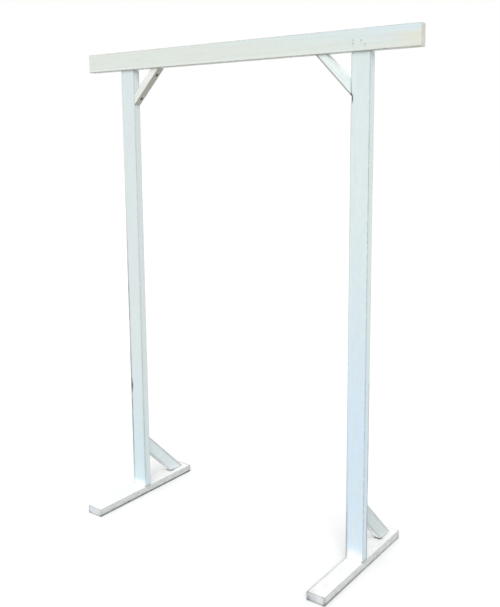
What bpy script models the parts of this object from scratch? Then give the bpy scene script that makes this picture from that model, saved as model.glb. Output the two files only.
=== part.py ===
"""A free-standing wooden arch, painted white, for people to stand under or walk through.

Two posts stand on boards laid flat on the ground. A beam on edge lies across the tops of the posts and runs
out past both. Four short mitred braces hold the corners: two under the beam, two behind the posts. Every
board is planed softwood with eased long edges.

Metres, +Z up, +X along the beam, and the front faces -Y. The origin is on the ground, midway between the
posts.
"""

import math

import bpy
from mathutils import Matrix, Vector

# Timber sections as planed: two by four in the frame, two by two and two by three in the braces
BOARD_THICKNESS = 0.038
BOARD_WIDTH = 0.089
KNEE_BRACE_WIDTH = 0.038
REAR_BRACE_WIDTH = 0.064
EDGE_RADIUS = 0.003

# Lengths and places of the boards
OPENING_WIDTH = 1.242
POST_LENGTH = 2.190
FOOT_LENGTH = 0.670
BEAM_OVERHANG = 0.222
BEAM_STEPS_FORWARD = 0.010

# Braces: a leg runs from the inside corner to the brace's long point
KNEE_BRACE_LEG = 0.173
REAR_BRACE_LEG = 0.285
REAR_BRACE_SIDESTEP = -0.007

# Screw pockets, drilled into the braces' long sides
POCKET_DIAMETER = 0.0127
POCKET_FROM_POINT = 0.045
WOOD_UNDER_SCREW = 0.012

# Boards meet with a hairline between them
JOINT_GAP = 0.0003

# Facets of the eased edges and of the pockets
EDGE_SEGMENTS = 4
POCKET_SIDES = 24

# Heights and places that follow
FOOT_TOP = BOARD_THICKNESS
POST_BOTTOM = FOOT_TOP + JOINT_GAP
POST_TOP = POST_BOTTOM + POST_LENGTH
BEAM_BOTTOM = POST_TOP + JOINT_GAP
POST_BACK = BOARD_THICKNESS / 2
POST_MIDDLE_X = (OPENING_WIDTH + BOARD_WIDTH) / 2
BEAM_LENGTH = OPENING_WIDTH + 2 * (BOARD_WIDTH + BEAM_OVERHANG)

SIDES = {"left": -1, "right": 1}


def clear_scene():
    for obj in list(bpy.data.objects):
        bpy.data.objects.remove(obj)


def new_collection(name):
    collection = bpy.data.collections.new(name)
    bpy.context.scene.collection.children.link(collection)
    return collection


def file_under(obj, collection):
    """Moves an object out of the collection that it was made in."""
    for holder in list(obj.users_collection):
        holder.objects.unlink(obj)
    collection.objects.link(obj)


def paint(name, colour, roughness):
    """A coat of paint: a plain colour and how matt it dried."""
    material = bpy.data.materials.new(name)
    material.use_nodes = True
    shader = material.node_tree.nodes["Principled BSDF"]
    shader.inputs["Base Color"].default_value = (*colour, 1.0)
    shader.inputs["Roughness"].default_value = roughness
    shader.inputs["Metallic"].default_value = 0.0
    material.diffuse_color = (*colour, 1.0)
    return material


def board(name, size, material):
    """A board centred on its origin, with the long edges eased and the sawn ends left square."""
    bpy.ops.mesh.primitive_cube_add(size=1)
    obj = bpy.context.object
    obj.name = name
    obj.data.name = name
    obj.data.transform(Matrix.Diagonal((*size, 1.0)))
    grain_axis = size.index(max(size))
    weights = obj.data.attributes.new("bevel_weight_edge", "FLOAT", "EDGE")
    for edge in obj.data.edges:
        start, end = (obj.data.vertices[i].co for i in edge.vertices)
        runs_with_grain = start[grain_axis] != end[grain_axis]
        weights.data[edge.index].value = float(runs_with_grain)
    easing = obj.modifiers.new("Eased edges", "BEVEL")
    easing.limit_method = "WEIGHT"
    easing.width = EDGE_RADIUS
    easing.segments = EDGE_SEGMENTS
    obj.data.materials.append(material)
    file_under(obj, ARCH)
    return obj


def cut_away(obj, cutter, name):
    """Cuts a shape, placed in the object's own frame, out of the object."""
    cutter.name = name
    cutter.parent = obj
    cutter.hide_render = True
    cutter.display_type = "WIRE"
    file_under(cutter, CUTTERS)
    cut = obj.modifiers.new(name, "BOOLEAN")
    cut.operation = "DIFFERENCE"
    cut.solver = "EXACT"
    cut.object = cutter


def saw_mitre(brace, name, leg, seat_axis):
    """Saws a brace off flush with the board that it seats on, a hairline short of it."""
    side = 3 * leg
    place = Vector((leg / 2, 0, leg / 2))
    place[seat_axis] = JOINT_GAP - side / 2
    bpy.ops.mesh.primitive_cube_add(size=side, location=place)
    cut_away(brace, bpy.context.object, name)


def drill_pocket(brace, name, leg, seat_axis):
    """Drills a flat-bottomed pocket square to the seat, for the screw that holds this end of the brace."""
    from_seat = POCKET_FROM_POINT / math.sqrt(2)
    place = Vector((leg - from_seat, 0, leg - from_seat))
    place[seat_axis] = WOOD_UNDER_SCREW + leg / 2
    turn = (0, math.pi / 2, 0) if seat_axis == 0 else (0, 0, 0)
    bpy.ops.mesh.primitive_cylinder_add(
        vertices=POCKET_SIDES, radius=POCKET_DIAMETER / 2, depth=leg, location=place, rotation=turn
    )
    cut_away(brace, bpy.context.object, name)


def corner_brace(name, corner, along, away, leg, width, material):
    """A brace sawn at 45 degrees at both ends, across the inside corner between two boards.

    The corner is the middle of the edge where the boards' faces meet. One seat runs from it along the
    first direction and the other along the second. The brace's own X and Z axes are those directions.
    """
    blank_length = leg * math.sqrt(2) + 2 * width
    brace = board(name, (blank_length, BOARD_THICKNESS, width), material)
    long_side_middle = Vector((leg / 2, 0, leg / 2))
    outwards = Vector((1, 0, 1)).normalized()
    middle = long_side_middle - width / 2 * outwards
    brace.data.transform(Matrix.Translation(middle) @ Matrix.Rotation(math.pi / 4, 4, "Y"))
    axes = Matrix((along, away.cross(along), away)).transposed()
    brace.matrix_world = Matrix.Translation(corner) @ axes.to_4x4()
    saw_mitre(brace, name + "_upright_mitre", leg, 0)
    saw_mitre(brace, name + "_level_mitre", leg, 2)
    drill_pocket(brace, name + "_upright_pocket", leg, 0)
    drill_pocket(brace, name + "_level_pocket", leg, 2)


def post(side, material):
    """A post with its wide face to the front, standing on its foot."""
    obj = board(side + "_post", (BOARD_WIDTH, BOARD_THICKNESS, POST_LENGTH), material)
    obj.location = (SIDES[side] * POST_MIDDLE_X, 0, POST_BOTTOM + POST_LENGTH / 2)


def foot(side, material):
    """A board laid flat from front to back under a post, as wide as the post."""
    obj = board(side + "_foot", (BOARD_WIDTH, FOOT_LENGTH, BOARD_THICKNESS), material)
    obj.location = (SIDES[side] * POST_MIDDLE_X, 0, BOARD_THICKNESS / 2)


def top_beam(material):
    """The beam on edge across both posts, set a little in front of their faces."""
    obj = board("top_beam", (BEAM_LENGTH, BOARD_THICKNESS, BOARD_WIDTH), material)
    obj.location = (0, -BEAM_STEPS_FORWARD, BEAM_BOTTOM + BOARD_WIDTH / 2)


def knee_brace(side, material):
    """A brace in the plane of the arch, between a post's inner edge and the underside of the beam."""
    corner = Vector((SIDES[side] * OPENING_WIDTH / 2, 0, BEAM_BOTTOM))
    inwards = Vector((-SIDES[side], 0, 0))
    down = Vector((0, 0, -1))
    corner_brace(side + "_knee_brace", corner, inwards, down, KNEE_BRACE_LEG, KNEE_BRACE_WIDTH, material)


def rear_brace(side, material):
    """A brace behind a post, between its back and the top of the foot, near the middle of the post."""
    middle_x = SIDES[side] * POST_MIDDLE_X + REAR_BRACE_SIDESTEP
    corner = Vector((middle_x, POST_BACK, FOOT_TOP))
    backwards = Vector((0, 1, 0))
    up = Vector((0, 0, 1))
    corner_brace(side + "_rear_brace", corner, backwards, up, REAR_BRACE_LEG, REAR_BRACE_WIDTH, material)


clear_scene()
ARCH = new_collection("wooden_arch")
CUTTERS = new_collection("cutters")

beam_paint = paint("beam_paint", (0.74, 0.75, 0.75), 0.55)
post_paint = paint("post_paint", (0.72, 0.77, 0.79), 0.55)
foot_paint = paint("foot_paint", (0.82, 0.83, 0.83), 0.60)
brace_paint = paint("brace_paint", (0.68, 0.72, 0.74), 0.60)

top_beam(beam_paint)
for side_name in SIDES:
    post(side_name, post_paint)
    foot(side_name, foot_paint)
    knee_brace(side_name, brace_paint)
    rear_brace(side_name, brace_paint)
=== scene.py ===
"""The looks of a free-standing wooden arch: nine planed boards, brushed white, and the screws that hold them.

The arch is dressed in the order in which it is put together. The frame gives the boards' places and lengths,
in metres.
"""

import math
import random

import bmesh
import bpy
from mathutils import Matrix, Vector, noise


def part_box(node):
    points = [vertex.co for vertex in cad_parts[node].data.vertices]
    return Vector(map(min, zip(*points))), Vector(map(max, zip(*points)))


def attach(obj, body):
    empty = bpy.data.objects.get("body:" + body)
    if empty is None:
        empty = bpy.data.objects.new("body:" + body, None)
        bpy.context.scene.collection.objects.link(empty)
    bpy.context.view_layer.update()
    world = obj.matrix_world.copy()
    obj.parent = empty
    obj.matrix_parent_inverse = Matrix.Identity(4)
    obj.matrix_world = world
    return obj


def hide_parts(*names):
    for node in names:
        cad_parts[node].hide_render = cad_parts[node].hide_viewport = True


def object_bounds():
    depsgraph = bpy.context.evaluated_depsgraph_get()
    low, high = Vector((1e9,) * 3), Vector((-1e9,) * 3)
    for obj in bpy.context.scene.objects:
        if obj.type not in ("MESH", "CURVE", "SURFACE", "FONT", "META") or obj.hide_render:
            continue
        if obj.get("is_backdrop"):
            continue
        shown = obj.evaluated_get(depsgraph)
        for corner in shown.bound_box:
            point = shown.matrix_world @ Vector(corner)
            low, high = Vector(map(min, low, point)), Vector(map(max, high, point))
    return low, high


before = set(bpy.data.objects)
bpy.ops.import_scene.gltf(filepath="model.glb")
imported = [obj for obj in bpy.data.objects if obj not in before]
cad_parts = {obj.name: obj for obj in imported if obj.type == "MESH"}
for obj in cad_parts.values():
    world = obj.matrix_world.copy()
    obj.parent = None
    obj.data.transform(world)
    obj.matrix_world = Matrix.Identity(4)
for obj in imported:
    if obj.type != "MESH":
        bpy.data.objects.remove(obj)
cad_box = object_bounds()


# The feet: two planed softwood boards laid flat from front to back, the first pieces on the ground. The long
# arrises are eased by the planer, the ends are sawn square and sanded, and soil marks their sides, with a
# dark line along the ground that is partly painted contact shade.
# Every board is shaped by this section's functions, in a frame of its own with the grain along X.
EASING = 0.003
EASING_FACETS = 4
SANDED_END = 0.0009
SHARP_CORNER = math.radians(42)
SAME_POINT = 1e-6
DRILL_FACETS = 32
WEAR_POINT_SPACING = (0.009, 0.0065, 0.0065)
ARRIS_REACH = 0.007
DEEPEST_RUB = 0.0020
SMALL_RUB_STRENGTH = 0.45
LEAST_RUB = 0.20
FACE_UNEVENNESS = 0.00018
KNOCK_DEPTH = 0.0011
KNOCKS_SPREAD_OVER = 0.48
KNOCK_SCATTER_ACROSS = 0.006
KNOCK_SCATTER_THROUGH = 0.004
KNOCK_REACH_ALONG = (0.010, 0.026)
KNOCK_REACH_ACROSS = 0.009
KNOCK_RUB = 0.35
TORN_OUT_TO = 1.6
TORN_STEEPNESS = 3
SHADE_LINE_WIDTH = 0.011
# Rubs come every 90 mm along the arrises, with small ones every 17 mm, and the planer left ripples 22 mm
# wide. The painted shade lines are streaky every 60 mm. Dirt, haze and painted shade by the ground lie in
# patches of 40, 14 and 8 mm.
RUBS_PER_METRE = Vector((11, 40, 40))
SMALL_RUBS_PER_METRE = 60
RIPPLES_PER_METRE = Vector((5, 45, 45))
STREAKS_PER_METRE = Vector((16, 0, 0))
DIRT_PER_METRE = 25
SMALL_DIRT_PER_METRE = 70
LYING_DIRT_PER_METRE = 120
LYING_DIRT_STEEPNESS = 2.2
DAMP_AND_SHADE_LINE = 0.0115
SHED_LENGTH = 0.006
SHED_SHARE = 0.85
HAZE_HEIGHT = 0.055
HAZE_STRENGTH = 0.24
SATIN_ROUGHNESS = 0.46

backwards = Vector((0, 1, 0))
rightwards = Vector((1, 0, 0))
upwards = Vector((0, 0, 1))


def planed_blank(size):
    """A board along X round its own middle, with the four long arrises eased."""
    bm = bmesh.new()
    bmesh.ops.create_cube(bm, size=1, matrix=Matrix.Diagonal((*size, 1)))
    arrises = [edge for edge in bm.edges if abs(edge.verts[0].co.x - edge.verts[1].co.x) > size[0] / 2]
    bmesh.ops.bevel(bm, geom=arrises, offset=EASING, segments=EASING_FACETS, profile=0.5, affect="EDGES")
    return bm


def whole(bm):
    """All of a board's points, edges and faces."""
    return bm.verts[:] + bm.edges[:] + bm.faces[:]


def sand_ends(bm):
    """Takes the sharpness off the sawn ends."""
    bm.normal_update()
    rims = [edge for edge in bm.edges if edge.calc_face_angle(0.0) > SHARP_CORNER]
    bmesh.ops.bevel(bm, geom=rims, offset=SANDED_END, segments=2, profile=0.5, affect="EDGES")


def shown_as_object(name, bm):
    """Turns loose geometry into an object of the scene."""
    mesh = bpy.data.meshes.new(name)
    bm.to_mesh(mesh)
    bm.free()
    obj = bpy.data.objects.new(name, mesh)
    bpy.context.scene.collection.objects.link(obj)
    return obj


def cut_with(bm, tool):
    """Cuts the tool's shape out of the board. Both are used up, and the cut board comes back."""
    blank = shown_as_object("blank", bm)
    cut = blank.modifiers.new("Cut", "BOOLEAN")
    cut.operation = "DIFFERENCE"
    cut.solver = "EXACT"
    cut.use_self = True
    cut.object = tool
    bpy.context.view_layer.update()
    result = bpy.data.meshes.new_from_object(blank.evaluated_get(bpy.context.evaluated_depsgraph_get()))
    bm = bmesh.new()
    bm.from_mesh(result)
    bpy.data.objects.remove(blank)
    bpy.data.objects.remove(tool)
    return bm


def drill(bm, bottom, way_out, diameter):
    """Drills a flat-bottomed hole, given in the board's own frame."""
    bit_length = 0.15
    bit = bmesh.new()
    turn = way_out.to_track_quat("Z", "Y").to_matrix().to_4x4()
    bmesh.ops.create_cone(
        bit, cap_ends=True, segments=DRILL_FACETS, radius1=diameter / 2, radius2=diameter / 2,
        depth=bit_length, matrix=Matrix.Translation(bottom + way_out * bit_length / 2) @ turn,
    )
    return cut_with(bm, shown_as_object("drill_bit", bit))


def rule_off(bm):
    """Divides every face along, across and through the board, so that wear has points to move."""
    for axis, spacing in enumerate(WEAR_POINT_SPACING):
        square = Vector([float(n == axis) for n in range(3)])
        low = min(vert.co[axis] for vert in bm.verts)
        high = max(vert.co[axis] for vert in bm.verts)
        parts = max(1, round((high - low) / spacing))
        for line in range(1, parts):
            point = square * (low + (high - low) * line / parts)
            bmesh.ops.bisect_plane(bm, geom=whole(bm), plane_co=point, plane_no=square, dist=SAME_POINT)


def stretched_distance(place, middle, spread):
    """How far a point is from a middle, where 1 is the spread along each axis."""
    return Vector([(a - b) / c for a, b, c in zip(place, middle, spread)]).length


def knocks_on(size, count, luck):
    """Where the board was knocked: a place near an arris, and how far each knock spreads."""
    for _ in range(count):
        along = luck.uniform(-KNOCKS_SPREAD_OVER, KNOCKS_SPREAD_OVER) * size[0]
        across = luck.choice((-0.5, 0.5)) * size[1] + luck.gauss(0, KNOCK_SCATTER_ACROSS)
        through = luck.choice((-0.5, 0.5)) * size[2] + luck.gauss(0, KNOCK_SCATTER_THROUGH)
        spread = Vector((luck.uniform(*KNOCK_REACH_ALONG), KNOCK_REACH_ACROSS, KNOCK_REACH_ACROSS))
        yield Vector((along, across, through)), spread


def on_board(to_board, shade_lines):
    """Turns the painted shade lines from the arch's frame to the board's own."""
    return [(to_board @ start, to_board @ end, *shares) for start, end, *shares in shade_lines]


def shade_line_share(place, shade_lines):
    """How dark the painted shade is at a point, near the listed edges and joints that carry shade lines. Each
    of these has its two ends, and the share of the shade colour at either end."""
    share = 0.0
    for start, end, at_start, at_end in shade_lines:
        run = end - start
        along = min(1.0, max(0.0, (place - start).dot(run) / run.length_squared))
        near = min(1.0, 2 * max(0.0, 1 - (place - start.lerp(end, along)).length / SHADE_LINE_WIDTH))
        share = max(share, near * (at_start + (at_end - at_start) * along))
    return share


def wear_down(bm, size, luck, knock_count, end_rims=0.0, torn_splinters=(), shade_lines=()):
    """Sinks the worn places, and notes for the paint where each point is on its board and how it fared. The
    rims of the sawn ends wear too where end_rims, from 0 to 1, says so."""
    board_place = bm.verts.layers.float_vector.new("board_place")
    names = ("worn", "torn", "arris", "shade_lines", "end_grain")
    marks = {name: bm.verts.layers.float.new(name) for name in names}
    knocks = list(knocks_on(size, knock_count, luck))
    drift = Vector([luck.uniform(-50, 50) for _ in range(3)])
    bm.normal_update()
    moves = []
    for vert in bm.verts:
        place = vert.co.copy()
        inset = [extent / 2 - abs(part) for extent, part in zip(size, place)]
        near_arris = max(0.0, 1 - (inset[1] + inset[2]) / ARRIS_REACH)
        off_rim = inset[0] + min(inset[1], inset[2]) if end_rims else size[0]
        near_end = max(0.0, 1 - off_rim / (2 * ARRIS_REACH))
        rub = noise.noise(place * RUBS_PER_METRE + drift)
        rub += SMALL_RUB_STRENGTH * noise.noise(place * SMALL_RUBS_PER_METRE - drift)
        rubbed = max(0.0, rub - LEAST_RUB) * near_arris + max(0.0, rub) * near_end
        uneven = 0.5 + 0.5 * noise.noise(place * RIPPLES_PER_METRE + drift.zyx)
        depth = DEEPEST_RUB * rubbed + FACE_UNEVENNESS * uneven
        for middle, spread in knocks:
            knocked = max(0.0, 1 - stretched_distance(place, middle, spread) ** 2) ** 2
            depth += KNOCK_DEPTH * knocked
            rubbed += KNOCK_RUB * knocked
        for middle, spread, splinter_depth in torn_splinters:
            to_rim = max(0.0, TORN_OUT_TO - stretched_distance(place, middle, spread))
            lost = min(1.0, to_rim * TORN_STEEPNESS)
            depth += splinter_depth * lost
            vert[marks["torn"]] = max(vert[marks["torn"]], lost)
        # Wear sinks no deeper near a sawn end than this, so that the end stays flat and whole
        depth = min(depth, SANDED_END * 0.7 + max(0.0, inset[0]) / 2)
        vert[board_place] = place
        vert[marks["worn"]] = min(1.0, rubbed)
        vert[marks["arris"]] = max(near_arris, end_rims * (1 - off_rim / ARRIS_REACH))
        # Painted shade along the listed edges and joints, streaky along them
        streaky = 0.8 + 0.6 * noise.noise(place * STREAKS_PER_METRE - drift)
        vert[marks["shade_lines"]] = min(1.0, streaky * shade_line_share(place, shade_lines))
        vert[marks["end_grain"]] = float(inset[0] < SANDED_END / 2)
        moves.append((vert, vert.normal * depth))
    for vert, move in moves:
        vert.co -= move


def put_up(bm, place, name, finishes, stands_for):
    """Puts a finished board on the arch in place of its plain one."""
    bmesh.ops.transform(bm, matrix=place, verts=bm.verts)
    obj = shown_as_object(name, bm)
    obj.data.shade_smooth()
    obj.data.set_sharp_from_angle(angle=SHARP_CORNER)
    for finish in finishes:
        obj.data.materials.append(finish)
    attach(obj, "root")
    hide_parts(stands_for)


def along_grain(node, grain, width_way):
    """The middle of a plain board and its size, as length, width and thickness in its own frame."""
    low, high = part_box(node)
    axes = Matrix((grain, width_way, grain.cross(width_way))).transposed()
    size = [abs(axes.col[n].dot(high - low)) for n in range(3)]
    return Matrix.Translation((low + high) / 2) @ axes.to_4x4(), size


def soil_and_shade_from_ground(bm, place, size, luck, damp_and_shade_ends, dirt_and_shade):
    """Notes how soiled or shaded each point is: a damp line along the ground that is also painted contact
    shade, which the middles of the ends have shed, a darker haze above it, and listed spots of dirt or
    painted shade, each with its middle, spread and strength."""
    soiled_or_shaded = bm.verts.layers.float.new("soiled_or_shaded")
    drift = Vector([luck.uniform(-50, 50) for _ in range(3)])
    for vert in bm.verts:
        spot = place @ vert.co
        patchy = 0.6 + 0.4 * noise.noise(spot * DIRT_PER_METRE + drift)
        patchy += 0.5 * noise.noise(spot * SMALL_DIRT_PER_METRE - drift)
        to_rear = vert.co.x / size[0] + 0.5
        at_end = max(0.0, 1 - (size[0] / 2 - abs(vert.co.x)) / SHED_LENGTH)
        off_corners = 1 - min(1.0, 2 * abs(vert.co.y) / size[1]) ** 5
        damp_and_shade = damp_and_shade_ends[0] * (1 - to_rear) + damp_and_shade_ends[1] * to_rear
        damp_and_shade *= 1 - SHED_SHARE * at_end * off_corners
        # The damp line is partly painted contact shade along the ground
        amount = damp_and_shade * min(1.0, 2 * max(0.0, 1 - spot.z / DAMP_AND_SHADE_LINE))
        amount += HAZE_STRENGTH * patchy * max(0.0, 1 - spot.z / HAZE_HEIGHT)
        for middle, spread, strength in dirt_and_shade:
            near = min(1.0, LYING_DIRT_STEEPNESS * max(0.0, 1 - (spot - middle).length / spread))
            amount += strength * near * (0.6 + 0.4 * noise.noise(spot * LYING_DIRT_PER_METRE + drift))
        vert[soiled_or_shaded] = min(1.0, amount)


def linear(colour):
    """A hex colour from sRGB to the linear values that the shaders take."""
    parts = [int(colour[n:n + 2], 16) / 255 for n in (1, 3, 5)]
    parts = [part / 12.92 if part <= 0.04045 else ((part + 0.055) / 1.055) ** 2.4 for part in parts]
    return (*parts, 1.0)


def add_node(tree, kind, output, inputs, **settings):
    """Adds a node and returns one of its outputs. An input is a value, or the output that feeds it."""
    node = tree.nodes.new(kind)
    for setting, value in settings.items():
        setattr(node, setting, value)
    sockets = {socket.identifier: socket for socket in node.inputs}
    for name, value in inputs.items():
        if isinstance(value, bpy.types.NodeSocket):
            tree.links.new(value, sockets[name])
        else:
            sockets[name].default_value = value
    return {socket.identifier: socket for socket in node.outputs}[output]


def new_finish(name):
    """A new material, with its node tree and the shader that the finish is built on."""
    material = bpy.data.materials.new(name)
    material.use_nodes = True
    return material, material.node_tree, material.node_tree.nodes["Principled BSDF"]


def brushed_white_on_pine(name, coat, sky_tinted_coat, sky_tint_towards, thin_coat, end_coat, pith, patches=(),
                          half_sky_tint=0.5, arris_coat="#9C9B93", shade_line_coat="#9C9B93", torn_wood="#2A1A18",
                          mottling=0.10, smoothest=SATIN_ROUGHNESS):
    """White paint, satin or matt, brushed on planed pine. It hides the wood's colour but not its relief:
    growth rings and brush marks catch the light, and a faint yellow bloom shows where resin bleeds from a
    knot. The coat is thin on arrises, where it wears to grey wood, and end grain drinks it and stays drab.
    A bluish sky tint is painted into the coat as painted light, dark lines along listed edges are painted
    shade, and the soil near the ground carries painted contact shade."""
    # Growth rings are 4.6 mm wide, as in fast-grown pine, wander 16 mm along the board and meet a knot every
    # 160 mm. A full brush covers 45 mm, hands and tools leave smears of 14 mm, and chips are 4 mm across.
    # Bristles leave marks half a millimetre wide and a few hundredths high, and rings swell as little. That
    # is too fine to show, so the marks are drawn 2.2 mm wide, and both are drawn about 0.2 mm high.
    ring_width = 0.0046
    ring_taper = 0.02
    ring_bend = (0.6, 0.14, 0.14)
    bend_depth = 0.016
    knot_spacing = (0.16, 0.08, 0.08)
    bristle_mark = (0.17, 0.0022, 0.0022)
    brushful = (0.20, 0.045, 0.045)
    smear = (0.034, 0.014, 0.014)
    speck = (0.014, 0.004, 0.004)
    ring_height = 0.0002
    bristle_height = 0.00025
    paint_thickness = 0.00015
    half_of_sky_tint_blend = 0.45
    ring_shade_on_faces = 0.035
    more_ring_shade_at_ends = 0.22
    rougher_on_marks = 0.14
    bare_wood_roughness = 0.85

    material, tree, shader = new_finish(name)
    shader.inputs["IOR"].default_value = 1.5
    place = add_node(tree, "ShaderNodeAttribute", "Vector", {}, attribute_name="board_place")
    arris, shade_lines, worn, torn, end_grain, soiled_or_shaded = (
        add_node(tree, "ShaderNodeAttribute", "Fac", {}, attribute_name=mark)
        for mark in ("arris", "shade_lines", "worn", "torn", "end_grain", "soiled_or_shaded")
    )
    patterns = []
    for output, cell, detail in (
        ("Color", ring_bend, 2.0), ("Fac", bristle_mark, 3.0), ("Fac", brushful, 3.0), ("Fac", smear, 2.0),
        ("Fac", speck, 4.0),
    ):
        in_cells = add_node(tree, "ShaderNodeVectorMath", "Vector",
                            {"Vector": place, "Vector_001": [1 / part for part in cell]},
                            operation="MULTIPLY")
        patterns.append(add_node(tree, "ShaderNodeTexNoise", output,
                                 {"Vector": in_cells, "Scale": 1.0, "Detail": detail}))
    bends, bristles, clouds, smears, specks = patterns

    bent = add_node(tree, "ShaderNodeVectorMath", "Vector",
                    {"Vector": bends, "Vector_001": (0, bend_depth, bend_depth), "Vector_002": place},
                    operation="MULTIPLY_ADD")
    off_pith = add_node(tree, "ShaderNodeVectorMath", "Vector", {"Vector": bent, "Vector_001": (0, *pith)},
                        operation="SUBTRACT")
    out_from_pith = add_node(tree, "ShaderNodeVectorMath", "Vector",
                             {"Vector": off_pith, "Vector_001": (ring_taper, 1, 1)}, operation="MULTIPLY")
    radius = add_node(tree, "ShaderNodeVectorMath", "Value", {"Vector": out_from_pith}, operation="LENGTH")
    rings = add_node(tree, "ShaderNodeMath", "Value", {"Value": radius, "Value_001": 1 / ring_width},
                     operation="MULTIPLY")
    within_ring = add_node(tree, "ShaderNodeMath", "Value", {"Value": rings, "Value_001": 0.5},
                           operation="PINGPONG")
    knot_cells = add_node(tree, "ShaderNodeVectorMath", "Vector",
                          {"Vector": bent, "Vector_001": [1 / part for part in knot_spacing]},
                          operation="MULTIPLY")
    to_knot = add_node(tree, "ShaderNodeTexVoronoi", "Distance", {"Vector": knot_cells, "Scale": 1.0})
    sky_tint_way = add_node(tree, "ShaderNodeVectorMath", "Value",
                          {"Vector": place, "Vector_001": sky_tint_towards}, operation="DOT_PRODUCT")
    sky_tinting = add_node(tree, "ShaderNodeMath", "Value", {"Value": sky_tint_way, "Value_001": clouds},
                       operation="ADD")
    loosened = add_node(tree, "ShaderNodeMath", "Value", {"Value": worn, "Value_001": specks},
                        operation="ADD")

    # Each share follows a pattern or a mark from a start to where it is full, and has a least and a most
    shares = {}
    for share, follows, start, full, least, most in (
        # The sky tint is painted light: the bluish cast of sky light, stronger the further the point lies the
        # given way
        ("sky_tint", sky_tinting, half_sky_tint - half_of_sky_tint_blend, half_sky_tint + half_of_sky_tint_blend, 0.0, 1.0),
        ("thin", clouds, 0.45, 0.72, 0.0, 0.7),
        ("smeared", smears, 0.42, 0.66, 0.0, mottling),
        ("resin", to_knot, 0.17, 0.06, 0.0, 0.25),
        ("latewood", within_ring, 0.22, 0.48, 0.0, 1.0),
        ("drunk_in", clouds, 0.15, 0.45, 0.0, 1.0),
        ("on_arris", arris, 0.30, 0.72, 0.0, 1.0),
        ("brushed_off", specks, 0.2, 0.8, 0.2, 0.8),
        ("chipped", loosened, 0.90, 1.02, 0.0, 1.0),
        ("speckled_soil_and_shade", specks, 0.2, 0.7, 0.5, 1.0),
    ):
        shares[share] = add_node(
            tree, "ShaderNodeMapRange", "Result",
            {"Value": follows, "From Min": start, "From Max": full, "To Min": least, "To Max": most},
            interpolation_type="SMOOTHSTEP",
        )
    at_end, thin_arris, soil_and_shade = (
        add_node(tree, "ShaderNodeMath", "Value", {"Value": one, "Value_001": other}, operation="MULTIPLY")
        for one, other in ((end_grain, shares["drunk_in"]), (shares["on_arris"], shares["brushed_off"]),
                           (soiled_or_shaded, shares["speckled_soil_and_shade"]))
    )
    ring_strength = add_node(tree, "ShaderNodeMath", "Value",
                             {"Value": at_end, "Value_001": more_ring_shade_at_ends,
                              "Value_002": ring_shade_on_faces}, operation="MULTIPLY_ADD")
    ring_shade = add_node(tree, "ShaderNodeMath", "Value",
                          {"Value": shares["latewood"], "Value_001": ring_strength}, operation="MULTIPLY")
    # A patch has its own colour, and starts and is full at given places along one or more of the board's axes
    patched = []
    for patch_colour, *limits in patches:
        inside = 1.0
        for axis, start, full in limits:
            along = add_node(tree, "ShaderNodeSeparateXYZ", axis, {"Vector": place})
            within = add_node(tree, "ShaderNodeMapRange", "Result",
                              {"Value": along, "From Min": start, "From Max": full},
                              interpolation_type="SMOOTHSTEP")
            inside = add_node(tree, "ShaderNodeMath", "Value", {"Value": within, "Value_001": inside},
                              operation="MULTIPLY")
        patched.append((inside, patch_colour))

    # The coat's layers in order. The sky tint is painted light, some patches are painted light or shade, the
    # shade lines are painted shade, and the soil holds painted contact shade
    colour = linear(coat)
    for share, over in (
        (shares["sky_tint"], sky_tinted_coat), (shares["thin"], thin_coat), (shares["smeared"], "#A9B1AF"), *patched,
        (shares["resin"], "#E0DCC8"), (at_end, end_coat), (ring_shade, "#8E8674"), (thin_arris, arris_coat),
        (shade_lines, shade_line_coat), (shares["chipped"], "#A8A196"), (torn, torn_wood), (soil_and_shade, "#4E483F"),
    ):
        colour = add_node(tree, "ShaderNodeMix", "Result_Color",
                          {"Factor_Float": share, "A_Color": colour, "B_Color": linear(over)},
                          data_type="RGBA")
    tree.links.new(colour, shader.inputs["Base Color"])

    gloss = add_node(tree, "ShaderNodeMapRange", "Result",
                     {"Value": bristles, "From Min": 0.3, "From Max": 0.7, "To Min": smoothest,
                      "To Max": smoothest + rougher_on_marks})
    dull = add_node(tree, "ShaderNodeMath", "Value", {"Value": at_end, "Value_001": soil_and_shade}, operation="ADD")
    bare = add_node(tree, "ShaderNodeMath", "Value", {"Value": shares["chipped"], "Value_001": dull},
                    operation="MAXIMUM")
    bare_or_torn = add_node(tree, "ShaderNodeMath", "Value", {"Value": bare, "Value_001": torn},
                            operation="MAXIMUM")
    roughness = add_node(tree, "ShaderNodeMix", "Result_Float",
                         {"Factor_Float": bare_or_torn, "A_Float": gloss, "B_Float": bare_wood_roughness},
                         data_type="FLOAT")
    tree.links.new(roughness, shader.inputs["Roughness"])

    raised = add_node(tree, "ShaderNodeBump", "Normal",
                      {"Height": shares["latewood"], "Strength": 0.7, "Distance": ring_height})
    brushed = add_node(tree, "ShaderNodeBump", "Normal",
                       {"Height": bristles, "Strength": 0.8, "Distance": bristle_height, "Normal": raised})
    flaked = add_node(tree, "ShaderNodeBump", "Normal",
                      {"Height": shares["chipped"], "Strength": 1.0, "Distance": paint_thickness,
                       "Normal": brushed}, invert=True)
    tree.links.new(flaked, shader.inputs["Normal"])
    return material


foot_top_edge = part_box("left_foot")[1].z / 2 - EASING
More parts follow.
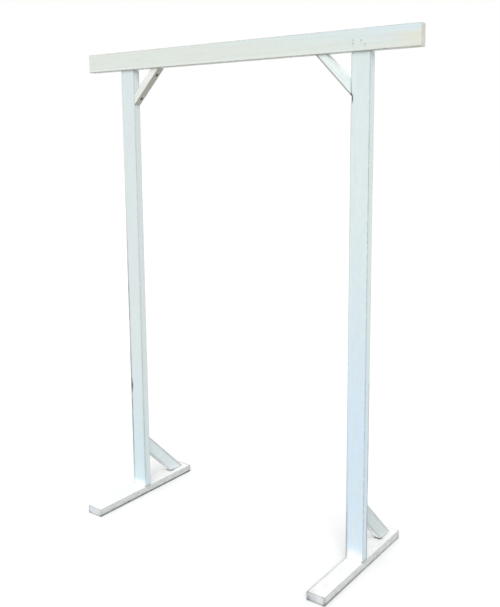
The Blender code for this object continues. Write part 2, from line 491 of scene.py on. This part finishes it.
# Painted light: the feet's tops are painted whiter than their sides, as lit from above, which also lightens
# the shade behind the posts
lit_top = ("#F1F2F1", ("Z", foot_top_edge, foot_top_edge + EASING * 0.7))
foot_finish = brushed_white_on_pine(
    "white_satin_paint_on_foot_pine", coat="#E5E7E6", sky_tinted_coat="#DFE4E6", sky_tint_towards=(0.4, 0, 0),
    thin_coat="#D8DDD9", end_coat="#EBF0F8", pith=(0.02, -0.06), patches=[lit_top], mottling=0.32,
)
FOOT_SCREW_SPACING = 0.050
FOOT_SCREW_BORE = 0.0105
FOOT_SCREW_SUNK = 0.004
HEEL_FROM_POINT = 0.084
HEEL_SHADE_STEP = 0.012
HEEL_SHADE_SPREAD = 0.016
HEEL_SHADE_STRENGTH = 0.9
seated_screws = []

for side, luck_number, damp_and_shade_ends in (("left", 11, (0.8, 1.0)), ("right", 12, (0.85, 0.45))):
    luck = random.Random(luck_number)
    place, size = along_grain(side + "_foot", backwards, -rightwards)
    low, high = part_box(side + "_foot")
    bm = planed_blank(size)
    sand_ends(bm)
    for step in (-0.5, 0.5):
        bottom = Vector(((low.x + high.x) / 2 + step * FOOT_SCREW_SPACING, 0, FOOT_SCREW_SUNK))
        bm = drill(bm, place.inverted() @ bottom, place.to_3x3().inverted() @ -upwards, FOOT_SCREW_BORE)
        seated_screws.append((side + "_foot", bottom, -upwards))
    rule_off(bm)
    left_front, right_front = Vector((low.x, low.y, high.z)), Vector((high.x, low.y, high.z))
    left_rear, right_rear = Vector((low.x, high.y, high.z)), Vector((high.x, high.y, high.z))
    to_ground = Vector((0, 0, -high.z))
    # Painted shade along chosen arrises of each foot
    shade_lines = {
        "left": [(left_rear, right_rear, 1.0, 1.0), (left_front, left_front + to_ground, 0.2, 0.4)],
        "right": [(left_front, Vector((low.x, 0, high.z)), 0.6, 0.5),
                  (right_front, right_front + to_ground, 0.35, 0.8)],
    }[side]
    wear_down(bm, size, luck, knock_count=7, end_rims=1.0, shade_lines=on_board(place.inverted(), shade_lines))
    brace_low, brace_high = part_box(side + "_rear_brace")
    # Painted shadow on the foot's top under the gaping heel of its rear brace
    heel = Vector(((brace_low.x + brace_high.x) / 2, brace_high.y - HEEL_FROM_POINT, high.z))
    dirt_and_shade = [(heel + rightwards * step, HEEL_SHADE_SPREAD, HEEL_SHADE_STRENGTH)
            for step in (-HEEL_SHADE_STEP, 0, HEEL_SHADE_STEP)]
    if side == "right":
        # Soil has dried on the inner corner of its front end
        dirt_and_shade.append((Vector((low.x + 0.010, low.y, 0.014)), 0.042, 0.36))
        dirt_and_shade.append((Vector((low.x + 0.006, low.y, 0.012)), 0.018, 0.40))
    soil_and_shade_from_ground(bm, place, size, luck, damp_and_shade_ends, dirt_and_shade)
    put_up(bm, place, side + "_foot_board", [foot_finish], side + "_foot")


# The posts: planed two by fours, wide face to the front, screwed to the middle of the feet from below. Their
# coat carries a painted bluish sky tint that grows towards the ground, a painted pool of light low on the
# front face, where the white foot throws light back up, and painted shade along some edges and joints. The
# right one has lost a splinter from its inner arris, just under the knee brace, and the left one a long thin
# one from its outer arris.
SPLINTER = (0.015, 0.0060, 0.0060)
SPLINTER_DEPTH = 0.0030
SPLINTER_BELOW_BRACE = 0.011
LONG_SPLINTER = (0.031, 0.0094, 0.0050)
LONG_SPLINTER_DEPTH = 0.0006
LONG_SPLINTER_HEIGHT = 0.595
BOUNCE_LIGHT_FULL_UP_TO = 0.012
BOUNCE_LIGHT_FROM_FRONT = 0.007
BOUNCE_LIGHT_FULL_AT_FRONT = 0.0015

low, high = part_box("left_post")
post_foot, post_front = (low.z - high.z) / 2, (low.y - high.y) / 2
for side, luck_number, coat, low_coat, (sky_tint_towards, half_sky_tint), bounce_light_up_to, bare_and_shade_coats in (
    ("left", 21, "#DFE8EA", "#D4E8F0", ((-0.9, 0, -10), 1.24), 0.045, ("#A7AAA7", "#7B7F7D", "#1A1D20")),
    ("right", 22, "#E1EDEE", "#D5E8F8", ((-0.75, 0, -10), 0.69), 0.075, ("#94989A", "#8F928F", "#2A1A18")),
):
    luck = random.Random(luck_number)
    arris_coat, shade_line_coat, torn_wood = bare_and_shade_coats
    # Painted light: the front face is whitened near the foot, as if lit by light thrown up from the white
    # foot
    foot_bounce_light = ("#F4F8F8", ("X", post_foot + bounce_light_up_to, post_foot + BOUNCE_LIGHT_FULL_UP_TO),
                  ("Z", post_front + BOUNCE_LIGHT_FROM_FRONT, post_front + BOUNCE_LIGHT_FULL_AT_FRONT))
    finish = brushed_white_on_pine(
        f"white_satin_paint_on_{side}_post_pine", coat=coat, sky_tinted_coat=low_coat,
        sky_tint_towards=sky_tint_towards, thin_coat="#DEE8EA", end_coat="#D9DAD0", pith=(-0.03, -0.08),
        patches=[foot_bounce_light], half_sky_tint=half_sky_tint, arris_coat=arris_coat, shade_line_coat=shade_line_coat,
        torn_wood=torn_wood, mottling=0.05,
    )
    place, size = along_grain(side + "_post", upwards, rightwards)
    low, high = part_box(side + "_post")
    to_board = place.inverted()
    splinters = []
    if side == "right":
        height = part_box("right_knee_brace")[0].z - SPLINTER_BELOW_BRACE
        splinters.append((to_board @ Vector((low.x, low.y, height)), SPLINTER, SPLINTER_DEPTH))
        # Painted shade along the right post's rear right arris and its front left arris
        shade_lines = [
            (Vector((high.x, high.y, 0.05)), Vector((high.x, high.y, 0.85)), 1.0, 0.5),
            (Vector((low.x, low.y, 0.05)), Vector((low.x, low.y, 0.65)), 0.8, 0.0),
        ]
    else:
        splinters.append((to_board @ Vector((low.x, low.y, LONG_SPLINTER_HEIGHT)), LONG_SPLINTER,
                          LONG_SPLINTER_DEPTH))
        # Painted shade along the left post's outer arris and front right arris, under the knee brace at the
        # top of its side, and across that side under the beam
        shade_lines = [
            (Vector((low.x, low.y, 0.06)), Vector((low.x, low.y, 0.30)), 0.4, 1.3),
            (Vector((low.x, low.y, 0.30)), Vector((low.x, low.y, 0.95)), 1.3, 1.1),
            (Vector((low.x, low.y, 0.95)), Vector((low.x, low.y, 1.70)), 1.1, 0.0),
            (Vector((high.x, low.y, 0.10)), Vector((high.x, low.y, 1.50)), 0.22, 0.0),
            (Vector((high.x, high.y, high.z)), Vector((high.x, high.y, high.z - 0.08)), 0.9, 0.2),
            (Vector((high.x, low.y, high.z)), Vector((high.x, high.y, high.z)), 0.6, 0.9),
        ]
    # Painted shade in the crease where each post's side meets its foot
    shade_lines.append((Vector((high.x, low.y, low.z)), Vector((high.x, high.y, low.z)), 0.8, 1.0))
    bm = planed_blank(size)
    sand_ends(bm)
    rule_off(bm)
    wear_down(bm, size, luck, knock_count=12, torn_splinters=splinters, shade_lines=on_board(to_board, shade_lines))
    put_up(bm, place, side + "_post_board", [finish], side + "_post")


# The rear braces: pieces of two by three sawn at 45 degrees at both ends, behind each post, near its middle.
# Each is held by a screw at either end, in a pocket bored from its long side, whose wood stays bare and dark.
# The lower mitre was sawn a little off, so that it touches the foot at its long point and gapes at its heel.
REAR_BRACE_WIDTH = 0.064
POCKET_DIAMETER = 0.0127
POCKET_FROM_POINT = 0.045
WOOD_UNDER_SCREW = 0.012
HEEL_GAP = 0.0045
LOW_COAT_FROM = -0.05
LOW_COAT_FULL_AT = 0.15
MATT_ROUGHNESS = 0.62
SAME_WAY = 0.999


def saw_off(bm, point, waste):
    """Saws the board through a point and drops what lies on the waste side."""
    cut = bmesh.ops.bisect_plane(bm, geom=whole(bm), plane_co=point, plane_no=waste, clear_outer=True)
    rim = [part for part in cut["geom_cut"] if isinstance(part, bmesh.types.BMEdge)]
    bmesh.ops.contextual_create(bm, geom=rim)


def mitred_brace(node, corner, along, away, width, finishes, luck, heel_gap=0.0, shade_lines=()):
    """A brace across the corner between two boards, with a seat along each of two directions from the corner.
    The seat along the first may gape at its heel, the end nearer to the corner. Its first finish is the paint
    and its second the bare wood of its pockets and mitres."""
    low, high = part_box(node)
    seat_gap = min(abs((part - corner).dot(along)) for part in (low, high))
    leg = max(abs((part - corner).dot(along)) for part in (low, high))
    grain = (along - away).normalized()
    outwards = (along + away).normalized()
    axes = Matrix((grain, outwards, grain.cross(outwards))).transposed()
    size = (leg * math.sqrt(2), width, abs((high - low).dot(axes.col[2])))
    place = Matrix.Translation(corner + outwards * (leg / math.sqrt(2) - width / 2)) @ axes.to_4x4()
    to_board = place.inverted()
    turn = to_board.to_3x3()
    bm = planed_blank((size[0] + 2 * width, *size[1:]))
    off_square = heel_gap / (width * math.sqrt(2))
    seats = (
        (corner + along * leg + away * seat_gap, turn @ (-away - along * off_square).normalized()),
        (corner + along * seat_gap, turn @ -along),
    )
    for point, waste in seats:
        saw_off(bm, to_board @ point, waste)
    sand_ends(bm)
    pockets = []
    for seat_way, other_way in ((along, away), (away, along)):
        bottom = corner + seat_way * WOOD_UNDER_SCREW + other_way * (leg - POCKET_FROM_POINT / math.sqrt(2))
        bm = drill(bm, to_board @ bottom, turn @ seat_way, POCKET_DIAMETER)
        pockets.append((to_board @ bottom, turn @ seat_way))
        seated_screws.append((node, bottom, seat_way))
    rule_off(bm)
    bm.normal_update()
    for face in bm.faces:
        middle = face.calc_center_median()
        off_axis = min((middle - bottom).cross(way_out).length for bottom, way_out in pockets)
        bored = off_axis < POCKET_DIAMETER / 2 and middle.y < width / 2 - EASING / 2
        mitred = any(face.normal.dot(waste) > SAME_WAY for _, waste in seats)
        face.material_index = int(bored or mitred)
    wear_down(bm, size, luck, knock_count=2, shade_lines=on_board(to_board, shade_lines))
    put_up(bm, place, node + "_board", finishes, node)


def bare_bored_pine(name):
    """Pine as a drill leaves it: torn fibres, nearly a millimetre wide, grey-brown with dirt and quite matt.
    They are drawn with twice their height, to show in so small a hole."""
    fibre = (0.006, 0.0009, 0.0009)
    fibre_height = 0.0004
    material, tree, shader = new_finish(name)
    shader.inputs["Roughness"].default_value = 0.9
    place = add_node(tree, "ShaderNodeAttribute", "Vector", {}, attribute_name="board_place")
    fibre_place = add_node(tree, "ShaderNodeVectorMath", "Vector",
                           {"Vector": place, "Vector_001": [1 / part for part in fibre]},
                           operation="MULTIPLY")
    fibres = add_node(tree, "ShaderNodeTexNoise", "Fac", {"Vector": fibre_place, "Scale": 1.0, "Detail": 3.0})
    colour = add_node(tree, "ShaderNodeMix", "Result_Color",
                      {"Factor_Float": fibres, "A_Color": linear("#3A3129"), "B_Color": linear("#62554A")},
                      data_type="RGBA")
    relief = add_node(tree, "ShaderNodeBump", "Normal",
                      {"Height": fibres, "Strength": 0.6, "Distance": fibre_height})
    tree.links.new(colour, shader.inputs["Base Color"])
    tree.links.new(relief, shader.inputs["Normal"])
    return material


pocket_wood = bare_bored_pine("bare_pine_in_screw_pockets")
underside_edge = EASING - REAR_BRACE_WIDTH / 2
# Painted light: each rear brace's short underside is whitened as if lit by light thrown up from the white
# foot
foot_lit_underside = ("#FAFBFB", ("Y", underside_edge, underside_edge - EASING * 0.7))
# The right brace's coat is greyer than the left one's, as painted shade on its face
for side, luck_number, coat, low_coat, shade_line_there in (
    ("left", 31, "#EBF5F8", "#E1EAED", 0.45), ("right", 32, "#D3DCDC", "#D6DEDE", 0.25),
):
    node = side + "_rear_brace"
    finish = brushed_white_on_pine(
        f"white_matt_paint_on_{side}_rear_brace_pine", coat=coat, sky_tinted_coat="#DAE6EA",
        sky_tint_towards=(0.5, 0, 0), thin_coat="#D6E1DE", end_coat="#D2D6CE", pith=(0.03, -0.04),
        arris_coat="#868784", shade_line_coat="#868784", mottling=0.20, smoothest=MATT_ROUGHNESS,
        patches=[(low_coat, ("X", LOW_COAT_FROM, LOW_COAT_FULL_AT)), foot_lit_underside],
    )
    low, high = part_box(node)
    post_back, foot_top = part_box(side + "_post")[1].y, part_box(side + "_foot")[1].z
    corner = Vector(((low.x + high.x) / 2, post_back, foot_top))
    upper_end, lower_end = Vector((high.x, low.y, high.z)), Vector((high.x, high.y, foot_top))
    # Painted shade along the upper arris of each brace's right face
    mitred_brace(node, corner, backwards, upwards, REAR_BRACE_WIDTH, [finish, pocket_wood],
                 random.Random(luck_number), HEEL_GAP,
                 shade_lines=[(upper_end, lower_end, shade_line_there, shade_line_there)])


# The beam: a planed two by four on edge across the tops of both posts, a little in front of their faces. It
# is held by screws driven down at a slant through its sides and painted over: four in front of the right
# post, and two behind each post. Both sawn ends show.
LIT_LOWER_EDGE_HEIGHT = 0.016
DRAB_END = 0.15
DRAB_FROM_HEIGHT = 0.030
DRAB_FULL_AT_HEIGHT = 0.004
SLANT = math.radians(50)
SLANT_BORE = 0.0090
SLANT_DEPTH = 0.0026
FRONT_SCREWS = ((-0.031, 0.041), (-0.031, 0.026), (0.006, 0.038), (0.024, 0.022))
REAR_SCREWS = ((-0.022, 0.030), (0.022, 0.030))

place, size = along_grain("top_beam", rightwards, upwards)
# Painted highlight: a lighter strip along the lower edge of the beam's faces, where the eased arris catches
# the light
lit_lower_edge = ("#E9EDEA", ("Y", LIT_LOWER_EDGE_HEIGHT - size[1] / 2, EASING - size[1] / 2))
drab_end = ("#E3E6DB", ("X", size[0] / 2 - DRAB_END, size[0] / 2 - DRAB_END * 0.2),
            ("Y", DRAB_FROM_HEIGHT, DRAB_FULL_AT_HEIGHT))
# The beam's painted sky tint grows towards its top edge and its right end
beam_finish = brushed_white_on_pine(
    "white_satin_paint_on_beam_pine", coat="#E1E6E2", sky_tinted_coat="#DCEAF1", sky_tint_towards=(0.6, 9, 0),
    thin_coat="#DFE9E3", end_coat="#DEDDD5", pith=(0.01, -0.07), half_sky_tint=1.0, mottling=0.04,
    patches=[lit_lower_edge, drab_end],
)
painted_screws = []
low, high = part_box("top_beam")
bm = planed_blank(size)
sand_ends(bm)
screw_places = [("right", low.y, -1, spot) for spot in FRONT_SCREWS]
screw_places += [(side, high.y, 1, spot) for side in ("left", "right") for spot in REAR_SCREWS]
for side, face_y, facing, (sideways, height) in screw_places:
    post_low, post_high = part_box(side + "_post")
    mouth = Vector(((post_low.x + post_high.x) / 2 + sideways, face_y, low.z + height))
    way_out = Vector((0, facing * math.cos(SLANT), math.sin(SLANT)))
    bottom = mouth - way_out * SLANT_DEPTH
    bm = drill(bm, place.inverted() @ bottom, place.to_3x3().inverted() @ way_out, SLANT_BORE)
    painted_screws.append(("top_beam", bottom, way_out))
rule_off(bm)
wear_down(bm, size, random.Random(41), knock_count=9, end_rims=0.4)
put_up(bm, place, "top_beam_board", [beam_finish], "top_beam")


# The knee braces: pieces of two by two sawn at 45 degrees at both ends, flush with the posts, in the corners
# under the beam. They are screwed as the rear braces are. Their undersides are painted darker as painted
# shade, where they face the ground, and on the right one the painted shade runs on into the lower edge of
# the front face.
KNEE_BRACE_WIDTH = 0.038

for side, inwards, luck_number, coat, shade_line_coat, shade_reach, full_shade_reach, arris_coat in (
    ("left", rightwards, 51, "#F5F5EF", "#C8C9BF", 0.0030, 0.0008, "#8A8981"),
    ("right", -rightwards, 52, "#EEFAFA", "#A5A29D", 0.0090, 0.0048, "#C6CBC9"),
):
    # Painted shade: the underside is darkened from the given distance off its arris
    shaded_underside = (shade_line_coat, ("Y", KNEE_BRACE_WIDTH / 2 - shade_reach, KNEE_BRACE_WIDTH / 2 - full_shade_reach))
    node = side + "_knee_brace"
    finish = brushed_white_on_pine(
        f"white_matt_paint_on_{side}_knee_brace_pine", coat=coat, sky_tinted_coat="#E9EDF2", sky_tint_towards=(0, 0, 0),
        thin_coat="#EAEDE5", end_coat="#D9DAD0", pith=(0.02, -0.03), patches=[shaded_underside],
        half_sky_tint=0.65, arris_coat=arris_coat, smoothest=MATT_ROUGHNESS,
    )
    post_low, post_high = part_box(side + "_post")
    inner_face = post_high.x if side == "left" else post_low.x
    corner = Vector((inner_face, (post_low.y + post_high.y) / 2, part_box("top_beam")[0].z))
    mitred_brace(node, corner, inwards, -upwards, KNEE_BRACE_WIDTH, [finish, pocket_wood],
                 random.Random(luck_number))


# The screws: zinc-plated steel with low round heads and a cross recess, driven home. Those in the pockets and
# under the feet have dulled to a dark grey. Those in the beam took the same white paint as the wood.
HEAD_DIAMETER = 0.0084
HEAD_HEIGHT = 0.0026
RIM_HEIGHT = 0.0009
RECESS_ARM = 0.0052
RECESS_WIDTH = 0.0012
RECESS_DEPTH = 0.0016
RECESS_TAPER = 0.6
DOME_ANGLES = (0.0, 0.35, 0.7, 1.05, 1.3)
HEAD_FACETS = 24


def screw_head():
    """A domed head, turned from its profile, with a tapered cross cut into it."""
    head = bmesh.new()
    dome = [(math.cos(angle), math.sin(angle)) for angle in DOME_ANGLES]
    radius = HEAD_DIAMETER / 2
    profile = [(0.0, 0.0), (radius, 0.0)]
    profile += [(radius * across, RIM_HEIGHT + (HEAD_HEIGHT - RIM_HEIGHT) * up) for across, up in dome]
    profile += [(0.0, HEAD_HEIGHT)]
    verts = [head.verts.new((x, 0, z)) for x, z in profile]
    edges = [head.edges.new(pair) for pair in zip(verts, verts[1:])]
    bmesh.ops.spin(head, geom=verts + edges, axis=(0, 0, 1), angle=2 * math.pi, steps=HEAD_FACETS)
    bmesh.ops.remove_doubles(head, verts=head.verts, dist=SAME_POINT)
    bmesh.ops.recalc_face_normals(head, faces=head.faces)
    cross = bmesh.new()
    for arm in ((RECESS_ARM, RECESS_WIDTH), (RECESS_WIDTH, RECESS_ARM)):
        made = bmesh.ops.create_cube(cross, size=1, matrix=Matrix.Diagonal((*arm, 2 * RECESS_DEPTH, 1)))
        for vert in made["verts"]:
            if vert.co.z < 0:
                vert.co.xy *= RECESS_TAPER
            vert.co.z += HEAD_HEIGHT
    return cut_with(head, shown_as_object("driver_tip", cross))


def dulled_zinc(name):
    """Zinc plate on steel, dulled and dirty: a dark grey metal that still catches a soft glint on its dome.
    Its stains are 1.1 mm across, and white rust stands a tenth of a millimetre high on them."""
    stain = 0.0011
    rust_height = 0.0001
    material, tree, shader = new_finish(name)
    shader.inputs["Metallic"].default_value = 1.0
    place = add_node(tree, "ShaderNodeTexCoord", "Object", {})
    stains = add_node(tree, "ShaderNodeTexNoise", "Fac", {"Vector": place, "Scale": 1 / stain, "Detail": 3.0})
    colour = add_node(tree, "ShaderNodeMix", "Result_Color",
                      {"Factor_Float": stains, "A_Color": linear("#4E4B46"), "B_Color": linear("#7E7B74")},
                      data_type="RGBA")
    roughness = add_node(tree, "ShaderNodeMapRange", "Result",
                         {"Value": stains, "To Min": 0.35, "To Max": 0.6})
    relief = add_node(tree, "ShaderNodeBump", "Normal",
                      {"Height": stains, "Strength": 0.3, "Distance": rust_height})
    tree.links.new(colour, shader.inputs["Base Color"])
    tree.links.new(roughness, shader.inputs["Roughness"])
    tree.links.new(relief, shader.inputs["Normal"])
    return material


def white_paint_on_steel(name):
    """The boards' paint where it ran over a screw: no grain, and a smooth film in soft lumps 2.5 mm across,
    thinner in between."""
    lump = 0.0025
    lump_height = 0.0002
    material, tree, shader = new_finish(name)
    shader.inputs["Roughness"].default_value = 0.5
    place = add_node(tree, "ShaderNodeTexCoord", "Object", {})
    film = add_node(tree, "ShaderNodeTexNoise", "Fac", {"Vector": place, "Scale": 1 / lump, "Detail": 2.0})
    colour = add_node(tree, "ShaderNodeMix", "Result_Color",
                      {"Factor_Float": film, "A_Color": linear("#DADDD7"), "B_Color": linear("#EEF1EE")},
                      data_type="RGBA")
    relief = add_node(tree, "ShaderNodeBump", "Normal",
                      {"Height": film, "Strength": 0.4, "Distance": lump_height})
    tree.links.new(colour, shader.inputs["Base Color"])
    tree.links.new(relief, shader.inputs["Normal"])
    return material


for screws, finish, material_slot, luck in (
    (seated_screws, dulled_zinc("dulled_zinc_plated_steel"), "screw_steel", random.Random(61)),
    (painted_screws, white_paint_on_steel("white_paint_over_screws"), "beam_paint", random.Random(62)),
):
    bare_head = shown_as_object("bare_head", screw_head())
    head_mesh = bare_head.data
    bpy.data.objects.remove(bare_head)
    head_mesh.shade_smooth()
    head_mesh.set_sharp_from_angle(angle=SHARP_CORNER)
    head_mesh.materials.append(finish)
    for number, (held, bottom, way_out) in enumerate(screws, 1):
        screw = bpy.data.objects.new(f"{held}_screw_{number}", head_mesh)
        bpy.context.scene.collection.objects.link(screw)
        turn = way_out.to_track_quat("Z", "Y").to_matrix() @ Matrix.Rotation(luck.uniform(0, math.pi), 3, "Z")
        screw.matrix_world = Matrix.Translation(bottom) @ turn.to_4x4()
        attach(screw, "root")


# The studio: a wide pale floor under an even, pale sky, with one soft lamp high over the viewer's shoulder.
# The camera sees floor and sky as white, and the floor gives back less light than it shows, as earth would.
FLOOR_SIZE = 80.0
SKY_LIGHT = 0.935
LAMP_STRENGTH = 1.3
LAMP_WIDTH = math.radians(35)
LAMP_FROM = Vector((0.42, -0.62, 0.66))


def seen_directly(tree):
    """1 where the camera, a mirror or clear glass looks, and 0 for light that bounces off matt surfaces."""
    camera_ray, glossy_ray, clear_ray = (
        add_node(tree, "ShaderNodeLightPath", ray, {})
        for ray in ("Is Camera Ray", "Is Glossy Ray", "Is Transmission Ray")
    )
    mirror_or_glass = add_node(tree, "ShaderNodeMath", "Value", {"Value": glossy_ray, "Value_001": clear_ray},
                               operation="MAXIMUM")
    return add_node(tree, "ShaderNodeMath", "Value", {"Value": camera_ray, "Value_001": mirror_or_glass},
                    operation="MAXIMUM")


bm = bmesh.new()
bmesh.ops.create_grid(bm, x_segments=8, y_segments=8, size=FLOOR_SIZE / 2)
floor = shown_as_object("floor", bm)
floor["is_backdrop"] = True
floor_finish, tree, shader = new_finish("matt_white_studio_floor")
shader.inputs["Roughness"].default_value = 1.0
shader.inputs["Specular IOR Level"].default_value = 0.0
floor_colour = add_node(
    tree, "ShaderNodeMix", "Result_Color",
    {"Factor_Float": seen_directly(tree), "A_Color": linear("#ADAFAA"), "B_Color": linear("#F2F2F2")},
    data_type="RGBA",
)
tree.links.new(floor_colour, shader.inputs["Base Color"])
floor.data.materials.append(floor_finish)

world = bpy.data.worlds.new("pale_sky")
bpy.context.scene.world = world
world.use_nodes = True
tree = world.node_tree
background = tree.nodes["Background"]
background.inputs["Color"].default_value = (1, 1, 1, 1)
brightness = add_node(tree, "ShaderNodeMix", "Result_Float",
                      {"Factor_Float": seen_directly(tree), "A_Float": SKY_LIGHT, "B_Float": 1.0},
                      data_type="FLOAT")
tree.links.new(brightness, background.inputs["Strength"])

lamp = bpy.data.lights.new("soft_lamp", "SUN")
lamp.energy = LAMP_STRENGTH
lamp.angle = LAMP_WIDTH
lamp_stand = bpy.data.objects.new("soft_lamp", lamp)
lamp_stand.rotation_euler = LAMP_FROM.to_track_quat("Z", "Y").to_euler()
bpy.context.scene.collection.objects.link(lamp_stand)


# The camera: at eye height in front of the arch and to its right, where the photograph was taken. Its place,
# lens and shift were fitted to the arch's corners in the picture.
PICTURE_WIDTH = 500
PICTURE_HEIGHT = 607
FOCAL_PIXELS = 755.41
AXIS_PIXEL = (289.51, 260.35)
CAMERA_PLACE = Vector((2.1980, -2.7455, 1.8465))
CAMERA_TURN = 0.6035
CAMERA_TILT = -0.1480

camera = bpy.data.cameras.new("camera")
camera.sensor_fit = "AUTO"
camera.lens = FOCAL_PIXELS / PICTURE_HEIGHT * camera.sensor_width
camera.shift_x = (PICTURE_WIDTH / 2 - AXIS_PIXEL[0]) / PICTURE_HEIGHT
camera.shift_y = (AXIS_PIXEL[1] - PICTURE_HEIGHT / 2) / PICTURE_HEIGHT
camera_stand = bpy.data.objects.new("camera", camera)
camera_stand.location = CAMERA_PLACE
camera_stand.rotation_euler = (math.pi / 2 + CAMERA_TILT, 0, CAMERA_TURN)
bpy.context.scene.collection.objects.link(camera_stand)
bpy.context.scene.camera = camera_stand
bpy.context.scene.view_settings.view_transform = "Standard"

boxes = {"cad": cad_box, "visual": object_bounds()}
{name: [list(corner) for corner in box] for name, box in boxes.items()}
